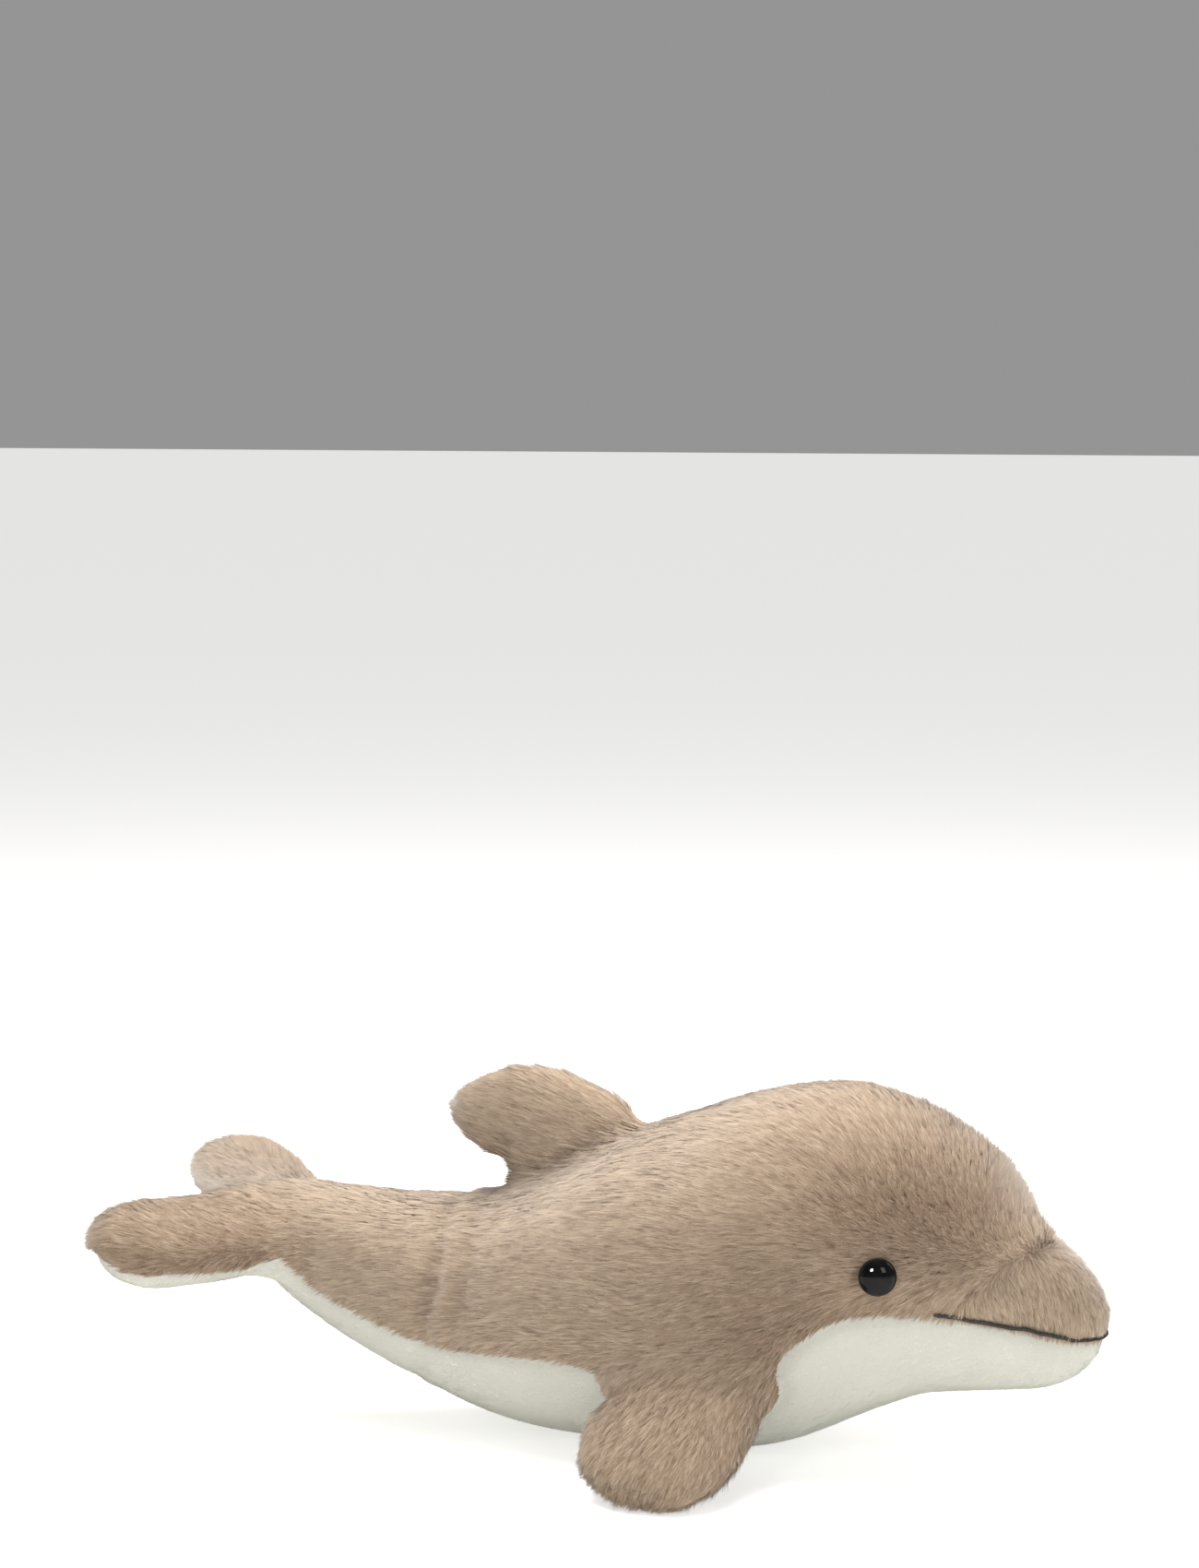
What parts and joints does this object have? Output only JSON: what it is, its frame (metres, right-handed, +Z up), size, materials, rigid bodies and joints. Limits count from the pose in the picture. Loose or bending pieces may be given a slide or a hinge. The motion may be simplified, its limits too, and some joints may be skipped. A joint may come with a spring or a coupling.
{
  "type": "plush dolphin toy",
  "caption": "Soft stuffed toy dolphin lying on its belly, with tan plush above, short white plush below, black domed eyes and a stitched mouth.",
  "frame": {"origin": "on the floor, under the middle of the toy's overall length and width", "axes": "+X towards the beak, +Y towards the dolphin's left, +Z up"},
  "size_m": [0.3808, 0.2234, 0.1405],
  "materials": {
    "tan_plush": "long soft pile, combed backwards",
    "white_plush": "short velvety pile",
    "fibre_filling": "matt loose fibre",
    "black_eye": "polished",
    "washer_plastic": "moulded",
    "black_thread": "twisted thread"
  },
  "bodies": {
    "root": {"side_panel_left": "tan_plush", "side_panel_right": "tan_plush", "belly_panel": "white_plush", "body_filling": "fibre_filling", "dorsal_fin_panel_left": "tan_plush", "dorsal_fin_panel_right": "tan_plush", "dorsal_fin_filling": "fibre_filling", "flipper_left_upper_panel": "tan_plush", "flipper_left_lower_panel": "tan_plush", "flipper_left_filling": "fibre_filling", "flipper_right_upper_panel": "tan_plush", "flipper_right_lower_panel": "tan_plush", "flipper_right_filling": "fibre_filling", "fluke_top_panel": "tan_plush", "fluke_underside_panel": "white_plush", "fluke_filling": "fibre_filling", "eye_left": "black_eye", "eye_right": "black_eye", "eye_washer_left": "washer_plastic", "eye_washer_right": "washer_plastic", "mouth_stitching": "black_thread"}
  },
  "joints": []
}
